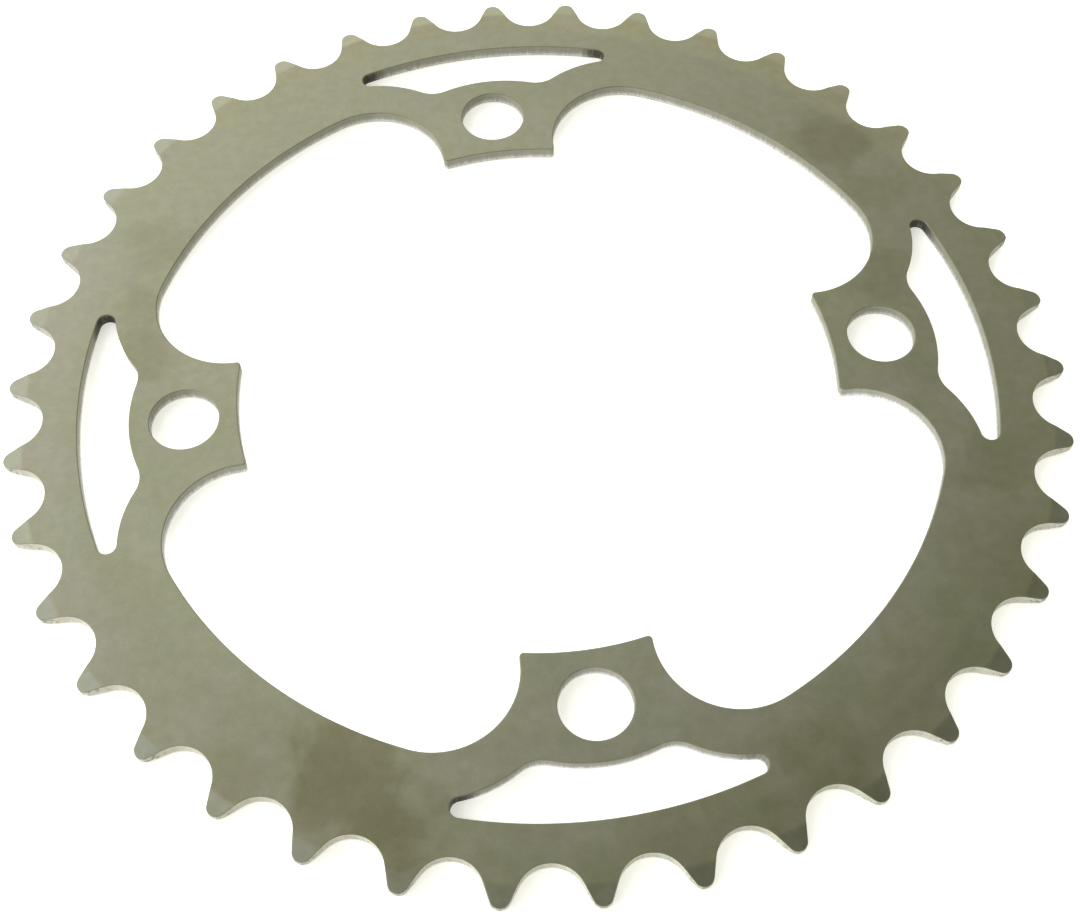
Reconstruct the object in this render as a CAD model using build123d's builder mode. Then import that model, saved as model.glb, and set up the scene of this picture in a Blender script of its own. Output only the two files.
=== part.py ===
"""Bicycle chainring: one flat steel plate with bevelled teeth, bolt tabs and lightening slots.

The plate lies on the XY plane with its back face at z = 0 and the crank axis on Z. A bolt tab
lies on each X and Y half axis, and the first tooth is a quarter of a tooth pitch past +X.
"""
import os
from math import asin, cos, pi, radians, sin, sqrt, tan

from build123d import *

# Chain and tooth form, in millimetres and degrees
chain_pitch = 12.7  # half-inch chain
tooth_count = 38
seat_radius = 4.5  # round floor of a tooth gap, with room for the chain's roller
flank_angle = 23.0  # lean of a tooth's flank to the tooth's middle line
tip_radius = 1.35  # full round that closes the two flanks of a tooth
tip_bevel_width = 2.7  # radial reach of the long bevel that narrows the teeth
tip_bevel_angle = 10.5

# Plate
thickness = 2.0
edge_roll = 0.15  # small bevel that the punches leave round the cut-outs, on the front face

# Bolt tabs and the bays between them
bolt_circle_diameter = 104.0
bolt_count = 4
bolt_hole_diameter = 10.1
tab_width = 18.0
tab_end_wall = 2.7  # bolt hole to the tab's hollow end
tab_corner_radius = 0.6
tab_side_straight = 0.25  # between the tab's corner and the curve of the bay
band_width = 12.4  # tooth root to the round back of a bay

# Lightening slots between the bolt holes and the teeth
rim_width = 5.05  # tooth root to slot
boss_wall = 2.95  # bolt hole to slot
boss_radius = 22.0  # slow curve of the slot's floor over the bolt hole
shoulder_radius = 4.5  # hollow on each side of that curve
strip_width = 6.25  # bay corner to slot
slot_end_radius = 1.35

# Circles about the crank axis
pitch_angle = 360 / tooth_count
pitch_radius = chain_pitch / (2 * sin(radians(pitch_angle / 2)))
root_radius = pitch_radius - seat_radius
bolt_circle_radius = bolt_circle_diameter / 2
bolt_hole_radius = bolt_hole_diameter / 2
register_radius = bolt_circle_radius - bolt_hole_radius - tab_end_wall
bay_radius = root_radius - band_width
slot_outer_radius = root_radius - rim_width
slot_floor_radius = bolt_circle_radius + bolt_hole_radius + boss_wall

# Tooth on +X, whose seat, flank and tip run smoothly into one another
first_tooth_angle = pitch_angle / 4
lean = Vector(sin(radians(flank_angle)), cos(radians(flank_angle)))
gap_center = Vector(pitch_radius, 0).rotate(Axis.Z, pitch_angle / 2)
flank_foot = gap_center - lean * seat_radius
flank_apex = flank_foot.X + flank_foot.Y / tan(radians(flank_angle))
tip_center = Vector(flank_apex - tip_radius / sin(radians(flank_angle)), 0)
flank_head = tip_center + lean * tip_radius
tip_crest = tip_center + Vector(tip_radius, 0)

# Bay corner beside the tab on +X: it touches the tab's side and the back of the bay
tab_edge_angle = asin(tab_width / 2 / register_radius)
tab_corner_run = tab_corner_radius / tan((pi / 2 - tab_edge_angle) / 2)
corner_x = register_radius * cos(tab_edge_angle) + tab_corner_run + tab_side_straight
bay_corner_radius = (bay_radius**2 - corner_x**2 - (tab_width / 2) ** 2) / (tab_width + 2 * bay_radius)
bay_corner = Vector(corner_x, tab_width / 2 + bay_corner_radius)


def turned(point, angle):
    """The point turned about the crank axis."""
    return point.rotate(Axis.Z, angle)


def mirrored(point):
    """The point on the other side of the X axis."""
    return Vector(point.X, -point.Y)


def reach(start, toward, distance):
    """Point at a distance from start, in the direction of another point."""
    return start + (toward - start).normalized() * distance


def meeting_point(first, first_distance, second, second_distance):
    """Point at set distances from two others, on the left of the line from first to second."""
    line = second - first
    along = (first_distance**2 - second_distance**2 + line.length**2) / (2 * line.length)
    across = sqrt(first_distance**2 - along**2)
    direction = line.normalized()
    return first + direction * along + turned(direction, 90) * across


def arc_about(center, start, end):
    """Arc about a centre, the short way from start to end."""
    radius = (start - center).length
    ThreePointArc(start, reach(center, (start + end) / 2, radius), end)


def draw_half_slot():
    """Half of the slot over the tab on +X, from its floor to its outer edge, in smooth arcs."""
    axis = Vector(0, 0)
    boss = Vector(slot_floor_radius - boss_radius, 0)
    flank_radius = bay_corner_radius + strip_width
    shoulder = meeting_point(
        bay_corner, flank_radius + shoulder_radius, boss, boss_radius + shoulder_radius
    )
    slot_end = meeting_point(
        bay_corner, flank_radius + slot_end_radius, axis, slot_outer_radius - slot_end_radius
    )
    floor_end = reach(boss, shoulder, boss_radius)
    flank_start = reach(bay_corner, shoulder, flank_radius)
    flank_end = reach(bay_corner, slot_end, flank_radius)
    outer_end = reach(axis, slot_end, slot_outer_radius)
    arc_about(boss, Vector(slot_floor_radius, 0), floor_end)
    arc_about(shoulder, floor_end, flank_start)
    arc_about(bay_corner, flank_start, flank_end)
    arc_about(slot_end, flank_end, outer_end)
    arc_about(axis, outer_end, Vector(slot_outer_radius, 0))


# One tooth and the gap after it
with BuildLine() as tooth:
    ThreePointArc(mirrored(flank_head), tip_crest, flank_head)
    flank = Line(flank_head, flank_foot)
    mirror(flank, about=Plane.XZ)
    gap_floor = turned(Vector(root_radius, 0), pitch_angle / 2)
    ThreePointArc(flank_foot, gap_floor, turned(mirrored(flank_foot), pitch_angle))

# Central opening: the bays, and the round register that the hollow tab ends leave
with BuildSketch() as opening:
    Circle(bay_radius)
    with PolarLocations(0, bolt_count):
        Rectangle(root_radius, tab_width, align=(Align.MIN, Align.CENTER), mode=Mode.SUBTRACT)
    fillet(opening.vertices().group_by(SortBy.DISTANCE)[-1], radius=bay_corner_radius)
    Circle(register_radius)
    fillet(opening.vertices().group_by(SortBy.DISTANCE)[0], radius=tab_corner_radius)

# Section of the tip bevels of both faces, drawn on the plate's middle plane
middle = Plane((0, 0, thickness / 2), x_dir=(1, 0, 0), z_dir=(0, -1, 0))
with BuildSketch(middle) as tip_bevels:
    bevel_start = tip_crest.X - tip_bevel_width
    bevel_end = tip_crest.X + tip_radius
    bevel_drop = (bevel_end - bevel_start) * tan(radians(tip_bevel_angle))
    with BuildLine():
        Polyline(
            (bevel_start, thickness / 2),
            (bevel_end, thickness / 2),
            (bevel_end, thickness / 2 - bevel_drop),
            close=True,
        )
    make_face()
    mirror(about=Plane.XZ)

with BuildPart() as chainring:
    # Toothed plate with its opening and bolt holes
    with BuildSketch():
        with PolarLocations(0, tooth_count, start_angle=first_tooth_angle):
            add(tooth.line)
        make_face()
        add(opening.sketch, mode=Mode.SUBTRACT)
        with PolarLocations(bolt_circle_radius, bolt_count):
            Circle(bolt_hole_radius, mode=Mode.SUBTRACT)
    extrude(amount=thickness)

    # Slots, for which only a ring much larger than its bolt circle has room
    if slot_outer_radius - slot_floor_radius > 2 * slot_end_radius:
        with BuildSketch():
            with BuildLine():
                draw_half_slot()
                mirror(about=Plane.XZ)
            slot = make_face()
            with PolarLocations(0, bolt_count):
                add(slot)
        extrude(amount=thickness, mode=Mode.SUBTRACT)

    # Rolled edges of every cut-out, on the face that the punches entered
    front = chainring.faces().sort_by(Axis.Z)[-1]
    chamfer([edge for wire in front.inner_wires() for edge in wire.edges()], length=edge_roll)

    # Bevelled tooth tips
    add(tip_bevels.sketch)
    revolve(axis=Axis.Z, mode=Mode.SUBTRACT)

chainring.part.label = "chainring"
os.makedirs("parts", exist_ok=True)
export_step(chainring.part, "parts/chainring.step")
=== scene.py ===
"""Looks of the bicycle chainring: a satin steel plate on a pale floor, in soft light from the left.

The plate is drawn from the same sizes as the part's solid, with its edges rolled and its walls smooth.
"""
import math
from collections import namedtuple

import bpy
import numpy as np
from mathutils import Matrix, Vector
from mathutils.geometry import delaunay_2d_cdt


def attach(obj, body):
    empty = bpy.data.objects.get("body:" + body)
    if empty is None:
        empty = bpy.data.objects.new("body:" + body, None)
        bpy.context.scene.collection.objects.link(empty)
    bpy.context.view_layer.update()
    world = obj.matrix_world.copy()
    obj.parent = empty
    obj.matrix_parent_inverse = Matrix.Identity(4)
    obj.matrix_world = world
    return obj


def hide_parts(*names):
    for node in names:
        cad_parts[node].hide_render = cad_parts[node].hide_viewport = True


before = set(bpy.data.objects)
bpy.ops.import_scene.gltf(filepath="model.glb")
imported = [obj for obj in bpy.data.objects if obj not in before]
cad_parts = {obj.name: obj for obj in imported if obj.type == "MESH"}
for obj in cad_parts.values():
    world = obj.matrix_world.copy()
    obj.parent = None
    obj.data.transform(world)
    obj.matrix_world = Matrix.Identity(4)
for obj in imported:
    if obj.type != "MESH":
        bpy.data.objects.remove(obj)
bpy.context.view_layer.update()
scene = bpy.context.scene

MM = 0.001
QUARTER = math.pi / 2

# Sizes of the plate, in millimetres and degrees
chain_pitch = 12.7
tooth_count = 38
seat_radius = 4.5
flank_angle = 23.0
tip_radius = 1.35
tip_bevel_width = 2.7
tip_bevel_angle = 10.5
thickness = 2.0
bolt_circle_radius = 52.0
bolt_hole_radius = 5.05
tab_width = 18.0
tab_end_wall = 2.7
tab_corner_radius = 0.6
tab_side_straight = 0.25
band_width = 12.4
rim_width = 5.05
boss_wall = 2.95
boss_radius = 22.0
shoulder_radius = 4.5
strip_width = 6.25
slot_end_radius = 1.35

# Rounding of the edges: the punch rolls the front edges of the cut-outs more than the rest
front_roll = 0.17
back_roll = 0.07
tooth_roll = 0.09
bevel_blend = 0.32  # worn bend between a tooth's face and its bevel, to each side

# Steps along the curves of the outlines
tip_steps = 14
seat_steps = 18
register_steps = 8
tab_corner_steps = 10
bay_corner_steps = 30
bay_steps = 16
boss_steps = 14
shoulder_steps = 10
strip_steps = 18
slot_end_steps = 14
slot_rim_steps = 20
hole_steps = 72

# Steps over the rolled edges and across the bends, and the rings of a wall between its edges
front_roll_steps = 4
back_roll_steps = 3
bend_steps = 7
wall_shares = (0.2, 0.4, 0.6, 0.8)
same_point = 1e-7  # distance below which two points of a face count as one

# Circles and angles that follow from the sizes
pitch_angle = 2 * math.pi / tooth_count
half_pitch = pitch_angle / 2
pitch_radius = chain_pitch / (2 * math.sin(half_pitch))
root_radius = pitch_radius - seat_radius
register_radius = bolt_circle_radius - bolt_hole_radius - tab_end_wall
bay_radius = root_radius - band_width
slot_outer_radius = root_radius - rim_width
slot_floor_radius = bolt_circle_radius + bolt_hole_radius + boss_wall
lean_angle = QUARTER - math.radians(flank_angle)
lean = Vector((math.cos(lean_angle), math.sin(lean_angle)))
gap_center = Vector((pitch_radius * math.cos(half_pitch), pitch_radius * math.sin(half_pitch)))
flank_foot = gap_center - lean * seat_radius
flank_apex = flank_foot.x + flank_foot.y / math.tan(math.radians(flank_angle))
tip_center = Vector((flank_apex - tip_radius / math.sin(math.radians(flank_angle)), 0))
flank_head = tip_center + lean * tip_radius
bevel_start = tip_center.x + tip_radius - tip_bevel_width
bevel_tilt = math.radians(tip_bevel_angle)
bend_radii = [bevel_start - bevel_blend, bevel_start, bevel_start + bevel_blend]
tab_edge_angle = math.asin(tab_width / 2 / register_radius)
corner_run = tab_corner_radius / math.tan((QUARTER - tab_edge_angle) / 2)
corner_x = register_radius * math.cos(tab_edge_angle) + corner_run + tab_side_straight
corner_radius = (bay_radius**2 - corner_x**2 - (tab_width / 2) ** 2) / (tab_width + 2 * bay_radius)
bay_corner = Vector((corner_x, tab_width / 2 + corner_radius))
origin = Vector((0, 0))

# Painted shade with grime at the two ends of each slot, from the slot over the tab on +X onward
end_shade_and_grime_amounts = ((1.0, 0.0), (1.0, 1.0), (0.0, 1.0), (0.45, 1.0))
end_shade_and_grime_reach = 2.4  # where it ends, in radii of the slot's end
end_shade_and_grime_fade = 1.3  # width over which it thins out, in the same radii

# Colours of the steel, as linear red, green, blue and alpha
face_warm = (0.343, 0.335, 0.231, 1)
face_green = (0.328, 0.336, 0.217, 1)
face_cool = (0.337, 0.335, 0.254, 1)
film_brown = (0.352, 0.318, 0.180, 1)
stain_brown = (0.200, 0.191, 0.096, 1)
wall_burnished = (0.335, 0.331, 0.258, 1)
wall_torn = (0.440, 0.436, 0.375, 1)
# the broken band at a wall's foot, made pale by painted light from the floor
wall_broken_and_floor_light = (0.720, 0.712, 0.660, 1)
# walls of the teeth, paler by painted light, the near ones more
tooth_wall_far_painted_light = (0.620, 0.610, 0.545, 1)
tooth_wall_near_painted_light = (0.806, 0.792, 0.665, 1)
wall_streak = (0.16, 0.155, 0.115, 1)
pit_grit = (0.07, 0.066, 0.045, 1)
# painted shade with grime in the narrow ends of the slots
slot_end_shade_and_grime = (0.060, 0.056, 0.036, 1)

# Tints by which a colour is multiplied
bevel_tint = (0.970, 0.985, 1.075, 1)
# painted light that makes the walls of the near half paler
near_wall_painted_light = (1.30, 1.30, 1.42, 1)

# Stains on the face: x, y and reach in millimetres, and depth
stains = (
    (-32.5, -57.0, 11.5, 0.90),
    (-29.5, -65.5, 8.0, 1.00),
    (-26.0, -70.5, 5.0, 0.30),
    (-48.0, -55.0, 7.0, 0.22),
    (-54.0, 33.0, 8.0, 0.25),
    (-57.0, 21.0, 6.0, 0.30),
    (-57.5, 13.0, 6.5, 0.40),
    (54.2, 38.0, 7.5, 0.66),
    (58.3, 27.3, 6.0, 0.35),
    (55.0, 9.5, 7.0, 0.45),
    (61.5, -24.0, 6.5, 0.40),
    (61.0, -36.0, 8.0, 0.12),
    (28.0, -65.0, 7.5, 0.56),
    (16.0, -69.5, 8.0, 0.30),
    (6.0, -71.0, 7.5, 0.40),
)
stain_core = 0.35  # share of the reach within which a stain has its full depth
stain_raggedness = 1.6  # how far its edge wanders, in reaches
stain_strength = 0.72
stain_on_bevel = 0.5  # share of a stain that stays where the chain rubs

# Rims of the face, paler or darker; the pale ones that grow towards the bays' edges are partly painted glare:
# a bearing in degrees, the distances along it between which the tint sets in, the distances from the crank
# axis between which it does, and the tint
rim_glare_and_tints = (
    (-60.0, 25.0, 50.0, 67.0, 60.5, (1.07, 1.07, 1.15, 1)),
    (-68.0, 52.0, 66.0, 69.0, 71.5, (0.92, 0.93, 0.92, 1)),
    (178.0, 55.0, 68.0, 67.0, 71.0, (1.04, 1.035, 1.10, 1)),
    (222.0, 45.0, 58.0, 66.0, 60.5, (1.07, 1.07, 1.08, 1)),
    (55.0, 60.0, 70.0, 69.5, 71.5, (1.09, 1.09, 1.07, 1)),
)

# Bevels that oil left warmer or the chain paler, and one darkened by painted shade: bearing, distances along
# it, and tint
bevel_tints_and_shade = (
    (68.0, 36.0, 56.0, (1.03, 1.005, 0.89, 1)),
    (32.0, 58.0, 67.0, (1.13, 1.13, 1.13, 1)),
    (210.0, 71.5, 74.5, (0.86, 0.87, 0.90, 1)),
)
bevel_fade = 0.3  # to each side of the bend, in millimetres

# Clouds of the face, and tabs that the bolts kept clean
noise_range = (0.3, 0.7)  # where most values of a noise lie
patch_shift = (37.0, 11.0, 0.0)  # keeps the patches apart from the clouds
cool_noise = (0.40, 0.80)
cool_share = 0.7
grain_shades = (0.965, 1.035)
patch_shades = (0.975, 1.025)
mottle_shades = (0.965, 1.035)
clean_tab = (58.0, 50.0)  # distances from the crank axis, in millimetres
clean_tab_shade = 1.055

# Film of oil, with lengths in millimetres
film_width = 3.0  # inside the roots of the teeth
film_end = 0.6  # past the bend
film_noise = (0.35, 0.62)
film_shares = (0.1, 0.65)
film_bearing = 80.0
film_side = (40.0, 62.0)  # distances along that bearing
film_least = 0.25

# Bands, dirt, painted shade and painted light of the walls, with heights and lengths in millimetres
torn_heights = (1.15, 0.75)
broken_and_lit_heights = (0.66, 0.40)
band_wander = 0.7
streak_stretch = (2.6, 2.6, 0.35)  # makes the streaks run up the walls
streak_noise = (0.35, 0.65)
streak_strength = 0.14
# painted light on the walls of the near half and of the teeth
near_bearing = -90.0
near_half = (-12.0, 18.0)  # distances along that bearing
tooth_wall_start = 1.5  # inside the roots of the teeth
tooth_wall_share = 0.75
grit_start, grit_full = -0.5, 1.5  # past the bend
grit_boost = 0.10
pit_noise = (0.60, 0.70)
pit_strength = 0.50
# painted shade with grime in the ends of the slots
end_shade_and_grime_noise = (0.30, 0.55)
end_shade_and_grime_strengths = (0.6, 0.95)

# Gloss and relief of the steel
edge_mark = (0.0, 0.3)  # values of the mark for wall between which a face goes over into an edge
wall_mark = (0.55, 1.0)  # and those between which an edge goes over into a wall
face_metallic = 1.0
wall_metallic = 0.3
face_roughness = (0.33, 0.39)
edge_roughness = 0.36  # added on edges and walls
stain_roughness = 0.06
grain_relief = 0.35
streak_relief = 3.0
bump_strength = 0.5
bump_height = 0.00002  # metres

# Floor, in metres and linear colours
floor_reach = 4.0
floor_gap = 0.00003  # below the plate, so that the two share no plane
floor_color = (0.92, 0.92, 0.90, 1)
floor_lift = 0.5  # light that only the camera sees, so that all but the shadow is white
floor_lift_color = (1.0, 0.995, 0.93, 1)
floor_in_mirrors = 0.7  # share of even white in the floor that the steel mirrors

# Light of the room
white = (1.0, 1.0, 1.0, 1)
sky_slope = (-1.55, 1.27, 0.0)  # growth of the sky's light, towards the far left
sky_start = 0.45
sky_height_fall = 0.53
sky_gain = 0.338
sky_least = 0.07
sky_limits = (0.8, 1.5)  # on the near side and on the far side
sky_limit_far = (0.0, 0.5)
sky_warm = (1.0, 0.985, 0.80, 1)
sky_cool = (1.0, 1.0, 1.02, 1)
cool_side = (-0.8, 1.0)  # from right to left
fill_level = 0.8
fill_side = (-0.3, -1.0)
fill_heights = (0.60, 0.34)
horizon_heights = (0.42, 0.16)
horizon_drop = 0.18  # how much lower the white ends on the far side
horizon_far = (0.1, 0.7)

# Lamps: size and place in metres, energy in watts
softbox_size = 1.6
softbox_energy = 10.0
softbox_place = (-1.2, -0.3, 0.7)
card_size = 0.45
cards = (
    ("card_right", 22.0, (0.75, 1.27, 0.27)),
    ("card_left", 6.0, (-1.35, -0.25, 0.27)),
)

# Camera: sensor and lens in millimetres, place in metres, turn in degrees
camera_sensor = 36.0
camera_lens = 50.847
camera_clip = 0.01
camera_place = (-0.017554, -0.124574, 0.189178)
camera_turn = (30.82727, 0.14087, -8.34759)


def angle_of(vector):
    """Bearing of a vector, from +X."""
    return math.atan2(vector.y, vector.x)


def short_turn(start, end):
    """Angle from one bearing to another, the short way round."""
    return (end - start + math.pi) % (2 * math.pi) - math.pi


def add_arc(outline, center, radius, start, end, side, steps):
    """Points of an arc without its last one, each with the direction that leaves the metal."""
    for i in range(steps):
        a = start + (end - start) * i / steps
        ray = Vector((math.cos(a), math.sin(a)))
        outline.append((center + ray * radius, ray * side))


def add_short_arc(outline, center, start, end, side, steps):
    """Arc about a centre from one point to another, the short way round."""
    a = angle_of(start - center)
    turn = short_turn(a, angle_of(end - center))
    add_arc(outline, center, (start - center).length, a, a + turn, side, steps)


def add_line(outline, start, end, normal, shares):
    """Points at shares of a straight line, all with one direction that leaves the metal."""
    for share in shares:
        outline.append((start.lerp(end, share), normal.copy()))


def turned(outline, angle):
    """Outline turned about the crank axis."""
    turn = Matrix.Rotation(angle, 2)
    return [(turn @ p, turn @ n) for p, n in outline]


def mirrored(point):
    """Point on the other side of the X axis."""
    return Vector((point.x, -point.y))


def meeting_point(first, first_distance, second, second_distance):
    """Point at set distances from two others, on the left of the line from first to second."""
    line = second - first
    along = (first_distance**2 - second_distance**2 + line.length_squared) / (2 * line.length)
    across = math.sqrt(first_distance**2 - along**2)
    direction = line.normalized()
    return first + direction * along + Vector((-direction.y, direction.x)) * across


def flank_share(radius):
    """Share of the flank, from its foot, at which the rolled edge reaches a distance from the crank axis."""
    low, high = 0.0, 1.0
    for _ in range(50):
        middle = (low + high) / 2
        point = flank_foot.lerp(flank_head, middle) - lean * tooth_roll
        if point.length < radius:
            low = middle
        else:
            high = middle
    return low


def toothed_outline():
    """Outer outline, and the pairs of its points between which each tooth's face bends into its bevel."""
    up = [0.0] + [flank_share(radius) for radius in bend_radii]
    down = [0.0] + [1 - share for share in reversed(up[1:])]
    tooth = []
    add_line(tooth, mirrored(flank_foot), mirrored(flank_head), mirrored(lean), up)
    add_arc(tooth, tip_center, tip_radius, -lean_angle, lean_angle, 1, tip_steps)
    last = len(tooth) + len(bend_radii)
    add_line(tooth, flank_head, flank_foot, lean, down)
    seat_start = lean_angle + math.pi
    seat_end = 2 * (math.pi + half_pitch) - seat_start
    add_arc(tooth, gap_center, seat_radius, seat_start, seat_end, -1, seat_steps)
    outline, bends = [], []
    for i in range(tooth_count):
        for k, radius in enumerate(bend_radii):
            bends.append((len(outline) + 1 + k, len(outline) + last - k, radius))
        outline += turned(tooth, half_pitch / 2 + i * pitch_angle)
    return outline, bends


def opening_outline():
    """Outline of the central opening: the hollow ends of four tabs, and the bays between them."""
    nose = register_radius + tab_corner_radius
    nose_y = tab_width / 2 - tab_corner_radius
    nose_center = Vector((math.sqrt(nose**2 - nose_y**2), nose_y))
    nose_angle = angle_of(nose_center)
    bend = angle_of(bay_corner)
    half = []
    add_arc(half, origin, register_radius, 0, nose_angle, -1, register_steps)
    add_arc(half, nose_center, tab_corner_radius, nose_angle + math.pi, QUARTER, 1, tab_corner_steps)
    start = Vector((nose_center.x, tab_width / 2))
    add_line(half, start, Vector((corner_x, tab_width / 2)), Vector((0, 1)), (0,))
    add_arc(half, bay_corner, corner_radius, -QUARTER, bend, -1, bay_corner_steps)
    add_arc(half, origin, bay_radius, bend, QUARTER / 2, -1, bay_steps)
    diagonal = bay_radius * math.sqrt(0.5)
    middle = Vector((diagonal, diagonal))
    back = [(Vector((p.y, p.x)), Vector((n.y, n.x))) for p, n in reversed(half[1:])]
    corner = half + [(middle, -middle.normalized())] + back
    return [point for i in range(4) for point in turned(corner, i * QUARTER)]


def slot_outline():
    """Outline of the slot over the tab on +X, and the centres of its two round ends."""
    boss = Vector((slot_floor_radius - boss_radius, 0))
    flank = corner_radius + strip_width
    shoulder = meeting_point(bay_corner, flank + shoulder_radius, boss, boss_radius + shoulder_radius)
    end = meeting_point(bay_corner, flank + slot_end_radius, origin, slot_outer_radius - slot_end_radius)
    floor_end = boss + (shoulder - boss).normalized() * boss_radius
    flank_start = bay_corner + (shoulder - bay_corner).normalized() * flank
    flank_end = bay_corner + (end - bay_corner).normalized() * flank
    outer_end = end.normalized() * slot_outer_radius
    half = []
    add_short_arc(half, boss, Vector((slot_floor_radius, 0)), floor_end, 1, boss_steps)
    add_short_arc(half, shoulder, floor_end, flank_start, -1, shoulder_steps)
    add_short_arc(half, bay_corner, flank_start, flank_end, 1, strip_steps)
    add_short_arc(half, end, flank_end, outer_end, -1, slot_end_steps)
    add_short_arc(half, origin, outer_end, Vector((slot_outer_radius, 0)), -1, slot_rim_steps)
    last = (Vector((slot_outer_radius, 0)), Vector((-1, 0)))
    other = [(mirrored(p), mirrored(n)) for p, n in reversed(half[1:])]
    return half + [last] + other, (end, mirrored(end))


def hole_outline():
    """Outline of the bolt hole on +X."""
    outline = []
    center = Vector((bolt_circle_radius, 0))
    add_arc(outline, center, bolt_hole_radius, 0, 2 * math.pi, -1, hole_steps)
    return outline


def face_drop(x, y):
    """How far a face lies below its flat at a place: only the bevelled tips do."""
    return np.maximum(np.hypot(x, y) - bevel_start, 0) * math.tan(bevel_tilt)


def face_normal(x, y, up):
    """Direction that leaves a face at a place, which leans outward over the bevels and bends into them."""
    radius = math.hypot(x, y)
    lean_share = min(max((radius - bend_radii[0]) / (bend_radii[-1] - bend_radii[0]), 0.0), 1.0)
    tilt = bevel_tilt * lean_share
    return np.array((x / radius * math.sin(tilt), y / radius * math.sin(tilt), up * math.cos(tilt)))


def wall_normal(point, away, leaning):
    """Direction that leaves a wall or its rolled edge, between those of the nearer face and of the wall."""
    up = 1.0 if leaning <= QUARTER else -1.0
    flat = face_normal(*point, up)
    normal = flat * abs(math.cos(leaning)) + np.array((*away, 0.0)) * math.sin(leaning)
    return normal / np.linalg.norm(normal)


def inside(points, loops):
    """Which points lie in the metal, by the even-odd rule."""
    found = np.zeros(len(points), bool)
    for loop in loops:
        following = np.roll(loop, -1, axis=0)
        for (x0, y0), (x1, y1) in zip(loop, following):
            if y0 == y1:
                continue
            spans = (y0 > points[:, 1]) != (y1 > points[:, 1])
            cut = x0 + (points[:, 1] - y0) * (x1 - x0) / (y1 - y0)
            found ^= spans & (points[:, 0] < cut)
    return found


# Ring of a wall: its inset from the outline, its depth below the nearer face, its share of the way down,
# the lean of its normal away from that of the front face, and how far it counts as wall
Ring = namedtuple("Ring", "inset depth share leaning wall")


def edge_rings(front, back):
    """Rings of a wall from face to face, with edges that are rolled by two radii."""
    rings = []
    for i in range(front_roll_steps + 1):
        a = QUARTER * i / front_roll_steps
        inset, depth = front * (1 - math.sin(a)), front * (1 - math.cos(a))
        rings.append(Ring(inset, depth, 0.0, a, i / front_roll_steps))
    for share in wall_shares:
        rings.append(Ring(0.0, front, share, QUARTER, 1.0))
    for i in range(back_roll_steps + 1):
        wall = 1 - i / back_roll_steps
        a = QUARTER * wall
        inset, depth = back * (1 - math.sin(a)), back * (1 - math.cos(a))
        rings.append(Ring(inset, depth, 1.0, math.pi - a, wall))
    return rings


def end_shade_and_grime_along(place, dark_end_places):
    """How much painted shade and grime lies at each point of an outline, from places with amounts."""
    end_darkness = np.zeros(len(place))
    for spot, amount in dark_end_places:
        distance = np.linalg.norm(place - np.array(spot), axis=1)
        near = np.clip((end_shade_and_grime_reach - distance / slot_end_radius) / end_shade_and_grime_fade, 0, 1)
        end_darkness = np.maximum(end_darkness, near * amount)
    return end_darkness


class FacePlan:
    """One face of the plate in plan: its points, their numbers in the mesh, and the loops that bound it."""

    def __init__(self, up):
        self.up = up
        self.points, self.numbers, self.loops = [], [], []


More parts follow.
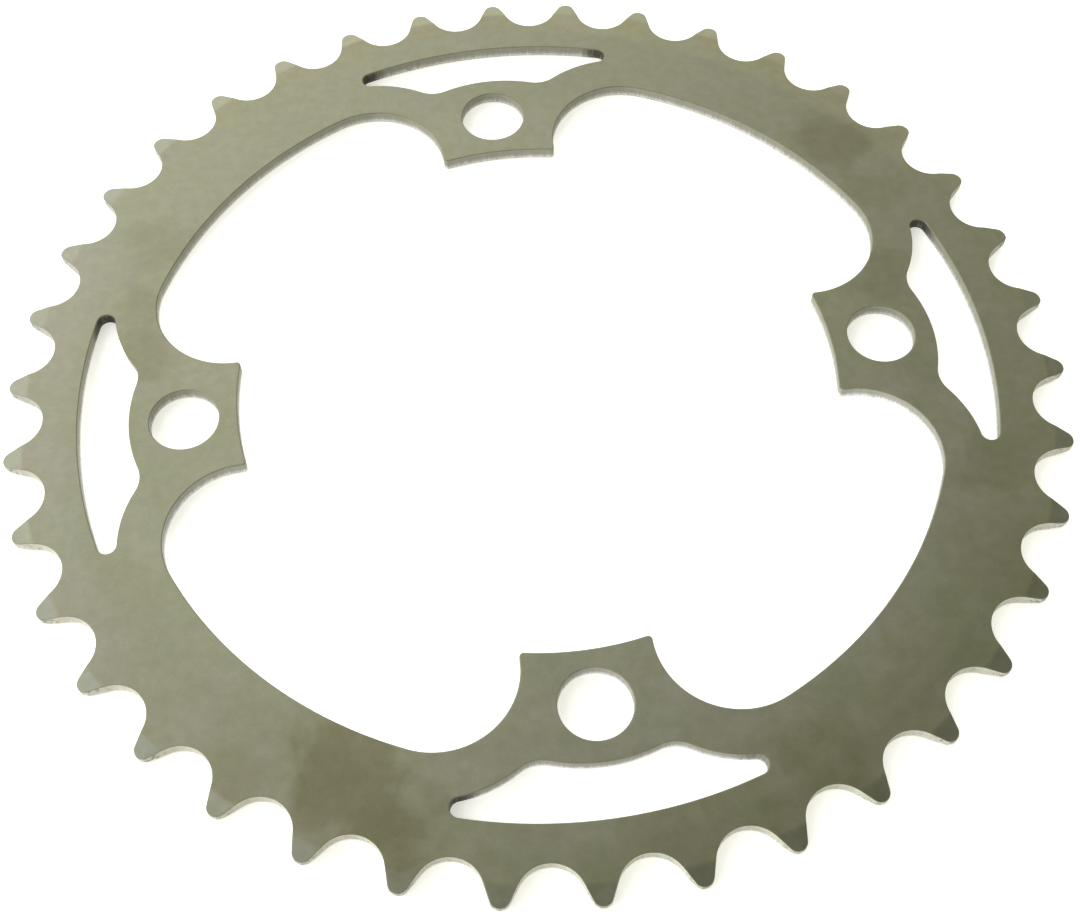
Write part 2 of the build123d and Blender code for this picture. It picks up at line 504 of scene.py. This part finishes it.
class Plate:
    """The plate's mesh as it grows: points with marks, and faces with the normals of their corners."""

    def __init__(self):
        self.points, self.walls, self.end_shade_and_grime = [], [], []
        self.faces, self.normals = [], []
        self.front, self.back = FacePlan(1.0), FacePlan(-1.0)
        self.edges = []  # of both plans, whose points have the same order

    def add_wall(self, outline, front, back, dark_end_places=()):
        """Wall along an outline with its rolled edges, and the loops where the two faces meet it."""
        count = len(outline)
        place = np.array([p for p, n in outline])
        away = np.array([n for p, n in outline])
        front_loop, back_loop = place - away * front, place - away * back
        top, bottom = thickness - face_drop(*front_loop.T), face_drop(*back_loop.T)
        end_darkness = end_shade_and_grime_along(place, dark_end_places)
        rings = edge_rings(front, back)
        first = len(self.points)
        for ring in rings:
            if ring.share == 0.0:
                z = top - ring.depth
            elif ring.share == 1.0:
                z = bottom + ring.depth
            else:
                z = (top - front) * (1 - ring.share) + (bottom + back) * ring.share
            self.points += np.c_[place - away * ring.inset, z].tolist()
            self.walls += [ring.wall] * count
            self.end_shade_and_grime += (end_darkness * ring.wall).tolist()

        ahead = place[1] - place[0]
        outward = np.array((ahead[1], -ahead[0])) @ away[0] > 0
        for k in range(len(rings) - 1):
            for i in range(count):
                j = (i + 1) % count
                quad = [(k, i), (k + 1, i), (k + 1, j), (k, j)]
                if not outward:
                    quad.reverse()
                self.faces.append([first + r * count + c for r, c in quad])
                self.normals += [wall_normal(front_loop[c], away[c], rings[r].leaning) for r, c in quad]

        start = len(self.front.points)
        self.edges += [(start + i, start + (i + 1) % count) for i in range(count)]
        for plan, loop, ring in ((self.front, front_loop, 0), (self.back, back_loop, len(rings) - 1)):
            plan.points += loop.tolist()
            plan.numbers += range(first + ring * count, first + (ring + 1) * count)
            plan.loops.append(loop)

    def add_bend(self, left, right, radius):
        """Arc across both faces of a tooth, from one point of the plans to another, where they bend."""
        (x0, y0), (x1, y1) = self.front.points[left], self.front.points[right]
        start = math.atan2(y0, x0)
        turn = short_turn(start, math.atan2(y1, x1))
        chain = [left]
        for i in range(1, bend_steps):
            a = start + turn * i / bend_steps
            x, y = radius * math.cos(a), radius * math.sin(a)
            drop = float(face_drop(x, y))
            chain.append(len(self.front.points))
            for plan, z in ((self.front, thickness - drop), (self.back, drop)):
                plan.points.append((x, y))
                plan.numbers.append(len(self.points))
                self.points.append((x, y, z))
                self.walls.append(0.0)
                self.end_shade_and_grime.append(0.0)
        chain.append(right)
        self.edges += zip(chain, chain[1:])

    def fill(self, plan):
        """Triangles of one face, between its loops and along its bends."""
        flat = [Vector(p) for p in plan.points]
        _, _, triangles, sources, _, _ = delaunay_2d_cdt(flat, self.edges, [], 0, same_point)
        if any(len(s) != 1 for s in sources):
            raise RuntimeError("an outline of the plate crosses itself")
        corners = np.array([[sources[v][0] for v in t] for t in triangles])
        xy = np.array(plan.points)
        keep = inside(xy[corners].mean(axis=1), plan.loops)
        for corner in corners[keep]:
            a, b, c = xy[corner]
            turns_left = (b[0] - a[0]) * (c[1] - a[1]) - (b[1] - a[1]) * (c[0] - a[0]) > 0
            order = corner if turns_left == (plan.up > 0) else corner[::-1]
            self.faces.append([plan.numbers[v] for v in order])
            self.normals += [face_normal(*xy[v], plan.up) for v in order]


def plate_mesh():
    """Mesh of the whole plate in metres, with its normals and its marks for wall and for painted shade with
    grime.
    """
    plate = Plate()
    outer, bends = toothed_outline()
    plate.add_wall(outer, tooth_roll, tooth_roll)  # the first wall, because the bends count from it
    plate.add_wall(opening_outline(), front_roll, back_roll)
    slot, slot_ends = slot_outline()
    for i, amounts in enumerate(end_shade_and_grime_amounts):
        turn = i * QUARTER
        ends = [(Matrix.Rotation(turn, 2) @ end, amount) for end, amount in zip(slot_ends, amounts)]
        plate.add_wall(turned(slot, turn), front_roll, back_roll, ends)
        plate.add_wall(turned(hole_outline(), turn), front_roll, back_roll)
    for left, right, radius in bends:
        plate.add_bend(left, right, radius)
    plate.fill(plate.front)
    plate.fill(plate.back)

    mesh = bpy.data.meshes.new("chainring_plate")
    mesh.from_pydata([(x * MM, y * MM, z * MM) for x, y, z in plate.points], [], plate.faces)
    mesh.update()
    mesh.polygons.foreach_set("use_smooth", [True] * len(mesh.polygons))
    mesh.normals_split_custom_set([tuple(n) for n in plate.normals])
    for name, values in (("wall", plate.walls), ("end_shade_and_grime", plate.end_shade_and_grime)):
        mark = mesh.attributes.new(name, "FLOAT", "POINT")
        mark.data.foreach_set("value", values)
    return mesh


class Nodes:
    """Short ways to add shader nodes to a tree. A value is a socket of another node, a number or a colour."""

    def __init__(self, tree):
        self.tree = tree
        tree.nodes.clear()

    def add(self, kind, **values):
        """New node with some of its properties set."""
        node = self.tree.nodes.new(kind)
        for key, value in values.items():
            setattr(node, key, value)
        return node

    def feed(self, socket, value):
        """Give a socket its value, or leave it as it is where there is none."""
        if isinstance(value, bpy.types.NodeSocket):
            self.tree.links.new(value, socket)
        elif value is not None:
            socket.default_value = value

    def attribute(self, name):
        """Mark that the mesh carries on its points."""
        return self.add("ShaderNodeAttribute", attribute_name=name).outputs["Fac"]

    def math(self, operation, a, b=None):
        """Arithmetic on one or two numbers."""
        node = self.add("ShaderNodeMath", operation=operation)
        self.feed(node.inputs[0], a)
        self.feed(node.inputs[1], b)
        return node.outputs[0]

    def times(self, product, *factors):
        """Product of two or more numbers."""
        for factor in factors:
            product = self.math("MULTIPLY", product, factor)
        return product

    def vector(self, operation, a, b=None):
        """Arithmetic on one or two vectors."""
        node = self.add("ShaderNodeVectorMath", operation=operation)
        self.feed(node.inputs[0], a)
        self.feed(node.inputs[1], b)
        return node.outputs["Value" if operation in ("LENGTH", "DISTANCE", "DOT_PRODUCT") else "Vector"]

    def parts(self, vector):
        """X, Y and Z of a vector."""
        node = self.add("ShaderNodeSeparateXYZ")
        self.feed(node.inputs[0], vector)
        return node.outputs

    def span(self, value, low, high, to_low=0.0, to_high=1.0):
        """Smooth step from to_low to to_high, as a value goes from low to high."""
        node = self.add("ShaderNodeMapRange", interpolation_type="SMOOTHSTEP")
        for socket, number in zip(node.inputs[:5], (value, low, high, to_low, to_high)):
            self.feed(socket, number)
        return node.outputs[0]

    def mix(self, share, a, b, blend="MIX"):
        """Colour a with a share of colour b in it, or of the two blended."""
        node = self.add("ShaderNodeMix", data_type="RGBA", blend_type=blend)
        color_a, color_b, color_out = node.inputs[6], node.inputs[7], node.outputs[2]
        self.feed(node.inputs[0], share)
        self.feed(color_a, a)
        self.feed(color_b, b)
        return color_out

    def grey(self, value):
        """Colour with the same red, green and blue."""
        node = self.add("ShaderNodeCombineColor")
        for socket in node.inputs[:3]:
            self.feed(socket, value)
        return node.outputs[0]

    def noise(self, place, scale, detail, roughness, distortion=0.0):
        """Cloudy noise around 0.5."""
        node = self.add("ShaderNodeTexNoise")
        self.feed(node.inputs["Vector"], place)
        node.inputs["Scale"].default_value = scale
        node.inputs["Detail"].default_value = detail
        node.inputs["Roughness"].default_value = roughness
        node.inputs["Distortion"].default_value = distortion
        return node.outputs[0]

    def along(self, place, bearing):
        """How far a place lies from the crank axis in the direction of a bearing in degrees."""
        a = math.radians(bearing)
        return self.vector("DOT_PRODUCT", place, (math.cos(a), math.sin(a), 0.0))


def stain_depth(n, place, plan, radius):
    """Depth of the stains that dried on the face, as patches with ragged edges."""
    ragged = n.noise(place, scale=0.16, detail=2.5, roughness=0.55, distortion=0.3)
    shift = n.math("SUBTRACT", ragged, 0.5)
    stain = 0.0
    for x, y, reach, depth in stains:
        away = n.vector("DISTANCE", plan, (x, y, 0.0))
        spread = n.math("ADD", away, n.times(shift, reach * stain_raggedness))
        stain = n.math("MAXIMUM", n.span(spread, reach, reach * stain_core, 0.0, depth), stain)
    rubbed = n.span(radius, bevel_start - bevel_fade, bevel_start + bevel_fade, 1.0, stain_on_bevel)
    return n.times(stain, rubbed)


def face_color(n, place, radius, clouds, patches, stain):
    """Clouded olive-grey face, with film, stains, worn rims and rubbed bevels."""
    # Warm, green and neutral greys drift into one another
    color = n.mix(n.span(clouds, *noise_range), face_warm, face_green)
    color = n.mix(n.span(patches, *cool_noise, 0.0, cool_share), color, face_cool)

    # Thin brown film by the teeth, where the chain's oil reached, most of it on the far side
    film = n.times(
        n.span(radius, root_radius - film_width, bevel_start),
        n.span(radius, bevel_start + film_end, bevel_start),
        n.span(n.noise(place, scale=0.34, detail=3.0, roughness=0.6), *film_noise, *film_shares),
        n.span(n.along(place, film_bearing), *film_side, film_least, 1.0),
    )
    color = n.mix(film, color, film_brown)
    color = n.mix(n.times(stain, stain_strength), color, stain_brown)

    # Rims paler or darker, the pale ones by the bays' edges partly painted glare
    on_bevel = n.span(radius, bevel_start - bevel_fade, bevel_start + bevel_fade)
    off_bevel = n.math("SUBTRACT", 1.0, on_bevel)
    for bearing, low, high, start, full, tint in rim_glare_and_tints:
        share = n.times(n.span(n.along(place, bearing), low, high), n.span(radius, start, full), off_bevel)
        color = n.mix(share, color, tint, "MULTIPLY")

    # The chain rubs the bevels to a cooler grey
    color = n.mix(on_bevel, color, bevel_tint, "MULTIPLY")
    # painted shade darkens the bevels near 210 degrees, which mirror the softbox
    for bearing, low, high, tint in bevel_tints_and_shade:
        share = n.times(on_bevel, n.span(n.along(place, bearing), low, high))
        color = n.mix(share, color, tint, "MULTIPLY")
    return color


def wall_color(n, place, radius, streaks):
    """Sheared wall: burnished under the front edge, torn below that, and broken off at the back, where
    painted light from the floor makes it pale.
    """
    height = n.parts(place)[2]
    height = n.math("ADD", height, n.times(n.math("SUBTRACT", streaks, 0.5), band_wander))
    torn = n.span(height, *torn_heights)
    color = n.mix(torn, wall_burnished, wall_torn)
    color = n.mix(n.span(height, *broken_and_lit_heights), color, wall_broken_and_floor_light)

    # Painted light: walls on the near half are paler, and those of the teeth paler still, most on the near
    # side
    near = n.span(n.along(place, near_bearing), *near_half)
    color = n.mix(near, color, near_wall_painted_light, "MULTIPLY")
    painted_light_tooth_wall = n.mix(near, tooth_wall_far_painted_light, tooth_wall_near_painted_light)
    on_tooth = n.span(radius, root_radius - tooth_wall_start, root_radius)
    color = n.mix(n.times(on_tooth, tooth_wall_share), color, painted_light_tooth_wall)

    # Grit sits in the pits of the torn band and of the tips, and painted shade with grime darkens some ends
    # of the slots
    gritty = n.span(radius, bevel_start + grit_start, bevel_start + grit_full, 0.0, grit_boost)
    pits = n.math("ADD", n.noise(place, scale=1.7, detail=2.0, roughness=0.7), gritty)
    pitted = n.math("MAXIMUM", torn, n.span(gritty, 0.0, grit_boost))
    color = n.mix(n.times(n.span(pits, *pit_noise), pitted, pit_strength), color, pit_grit)
    color = n.mix(n.span(streaks, *streak_noise, 0.0, streak_strength), color, wall_streak)
    end_shade_and_grime = n.times(n.attribute("end_shade_and_grime"), n.span(streaks, *end_shade_and_grime_noise, *end_shade_and_grime_strengths))
    return n.mix(end_shade_and_grime, color, slot_end_shade_and_grime)


def steel_material():
    """Satin steel: clouded olive-grey faces with old oil stains, and rougher sheared walls."""
    material = bpy.data.materials.new("steel")
    material.use_nodes = True
    n = Nodes(material.node_tree)
    place = n.vector("SCALE", n.add("ShaderNodeTexCoord").outputs["Object"])
    place.node.inputs["Scale"].default_value = 1 / MM
    plan = n.vector("MULTIPLY", place, (1.0, 1.0, 0.0))
    radius = n.vector("LENGTH", plan)
    wall = n.attribute("wall")
    on_wall = n.span(wall, *wall_mark)
    on_edge = n.span(wall, *edge_mark)

    # Noises, from wide to fine
    clouds = n.noise(place, scale=0.075, detail=3.0, roughness=0.55, distortion=0.6)
    moved = n.vector("ADD", place, patch_shift)
    patches = n.noise(moved, scale=0.21, detail=3.0, roughness=0.6, distortion=0.4)
    mottle = n.noise(place, scale=0.62, detail=2.0, roughness=0.5, distortion=0.2)
    upright = n.vector("MULTIPLY", place, streak_stretch)
    streaks = n.noise(upright, scale=1.0, detail=3.0, roughness=0.6)
    grain = n.noise(place, scale=3.4, detail=3.0, roughness=0.65)

    # Slight changes of shade, and tabs that the bolts kept clean
    shade = n.times(
        n.span(grain, *noise_range, *grain_shades),
        n.span(patches, *noise_range, *patch_shades),
        n.span(mottle, *noise_range, *mottle_shades),
        n.span(radius, *clean_tab, 1.0, clean_tab_shade),
    )
    stain = stain_depth(n, place, plan, radius)
    face = face_color(n, place, radius, clouds, patches, stain)
    side = wall_color(n, place, radius, streaks)
    color = n.mix(1.0, n.mix(on_wall, face, side), n.grey(shade), "MULTIPLY")

    rough = n.span(patches, *noise_range, *face_roughness)
    rough = n.math("ADD", rough, n.times(stain, stain_roughness))
    rough = n.math("ADD", rough, n.times(on_edge, edge_roughness))

    relief = n.math("ADD", n.times(grain, grain_relief), clouds)
    relief = n.math("ADD", relief, n.times(on_wall, streaks, streak_relief))
    bump = n.add("ShaderNodeBump")
    bump.inputs["Strength"].default_value = bump_strength
    bump.inputs["Distance"].default_value = bump_height
    n.feed(bump.inputs["Height"], relief)

    shader = n.add("ShaderNodeBsdfPrincipled")
    n.feed(shader.inputs["Metallic"], n.span(wall, *wall_mark, face_metallic, wall_metallic))
    n.feed(shader.inputs["Base Color"], color)
    n.feed(shader.inputs["Roughness"], rough)
    n.feed(shader.inputs["Normal"], bump.outputs[0])
    n.feed(n.add("ShaderNodeOutputMaterial").inputs[0], shader.outputs[0])
    return material


def floor_material():
    """White floor on which the ring's shadow shows faint and warm, close to the plate."""
    material = bpy.data.materials.new("floor_white")
    material.use_nodes = True
    n = Nodes(material.node_tree)
    path = n.add("ShaderNodeLightPath").outputs
    mirrored_ray = n.math("MAXIMUM", path["Is Glossy Ray"], path["Is Transmission Ray"])
    matte = n.add("ShaderNodeBsdfDiffuse")
    matte.inputs["Color"].default_value = floor_color
    glow = n.add("ShaderNodeEmission")
    glow.inputs["Color"].default_value = white
    mirrored_floor = n.add("ShaderNodeMixShader")
    n.feed(mirrored_floor.inputs[0], n.times(mirrored_ray, floor_in_mirrors))
    n.feed(mirrored_floor.inputs[1], matte.outputs[0])
    n.feed(mirrored_floor.inputs[2], glow.outputs[0])
    lift = n.add("ShaderNodeEmission")
    lift.inputs["Color"].default_value = floor_lift_color
    n.feed(lift.inputs["Strength"], n.times(path["Is Camera Ray"], floor_lift))
    both = n.add("ShaderNodeAddShader")
    n.feed(both.inputs[0], mirrored_floor.outputs[0])
    n.feed(both.inputs[1], lift.outputs[0])
    n.feed(n.add("ShaderNodeOutputMaterial").inputs[0], both.outputs[0])
    return material


def studio_world():
    """Pale room: white near the horizon, and above it brighter on the left than on the right."""
    world = bpy.data.worlds.new("studio")
    world.use_nodes = True
    n = Nodes(world.node_tree)
    ray = n.add("ShaderNodeTexCoord").outputs["Generated"]
    _, far, height = n.parts(ray)
    leftward = n.vector("DOT_PRODUCT", ray, sky_slope)

    # Light that grows towards the far left up to a limit, and fades with height
    growth = n.math("SUBTRACT", sky_start, n.times(height, height, sky_height_fall))
    level = n.times(n.math("EXPONENT", n.math("ADD", leftward, growth)), sky_gain)
    limit = n.span(far, *sky_limit_far, *sky_limits)
    level = n.math("MINIMUM", n.math("ADD", level, sky_least), limit)

    # Low fill on the right
    fill = n.times(n.span(leftward, *fill_side, 0.0, fill_level), n.span(height, *fill_heights))
    level = n.math("ADD", level, fill)

    warmth = n.mix(n.span(leftward, *cool_side), sky_warm, sky_cool)
    sky = n.mix(1.0, warmth, n.grey(level), "MULTIPLY")
    raised = n.math("ADD", height, n.span(far, *horizon_far, 0.0, horizon_drop))
    horizon = n.span(raised, *horizon_heights)
    back = n.add("ShaderNodeBackground")
    n.feed(back.inputs["Color"], n.mix(horizon, sky, white))
    n.feed(n.add("ShaderNodeOutputWorld").inputs[0], back.outputs[0])
    return world


def add_object(name, data):
    """Object in the scene that shows a mesh, a lamp or a camera."""
    thing = bpy.data.objects.new(name, data)
    scene.collection.objects.link(thing)
    return thing


def add_lamp(name, size, energy, location):
    """Square lamp that faces the middle of the ring."""
    light = bpy.data.lights.new(name, "AREA")
    light.shape = "SQUARE"
    light.size = size
    light.energy = energy
    lamp = add_object(name, light)
    lamp.location = location
    lamp.rotation_euler = (-lamp.location).to_track_quat("-Z", "Y").to_euler()
    return lamp


scene.view_settings.view_transform = "Standard"
scene.world = studio_world()

# The ring, in place of the part's solid
ring = add_object("chainring_plate", plate_mesh())
ring.data.materials.append(steel_material())
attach(ring, "root")
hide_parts("chainring")

# The floor it lies on
floor_mesh = bpy.data.meshes.new("floor")
corners = [(x * floor_reach, y * floor_reach, 0) for x, y in ((-1, -1), (1, -1), (1, 1), (-1, 1))]
floor_mesh.from_pydata(corners, [], [(0, 1, 2, 3)])
floor_mesh.materials.append(floor_material())
floor = add_object("floor", floor_mesh)
floor.location.z = -floor_gap

# Softbox on the left, and low cards whose light only matte walls and the floor take up
add_lamp("softbox", softbox_size, softbox_energy, softbox_place)
for name, energy, location in cards:
    card = add_lamp(name, card_size, energy, location)
    card.visible_glossy = False
    card.visible_camera = False

# Camera where the photograph was taken
lens = bpy.data.cameras.new("camera")
lens.sensor_width = camera_sensor
lens.lens = camera_lens
lens.clip_start = camera_clip
camera = add_object("camera", lens)
camera.location = camera_place
camera.rotation_euler = [math.radians(a) for a in camera_turn]
scene.camera = camera
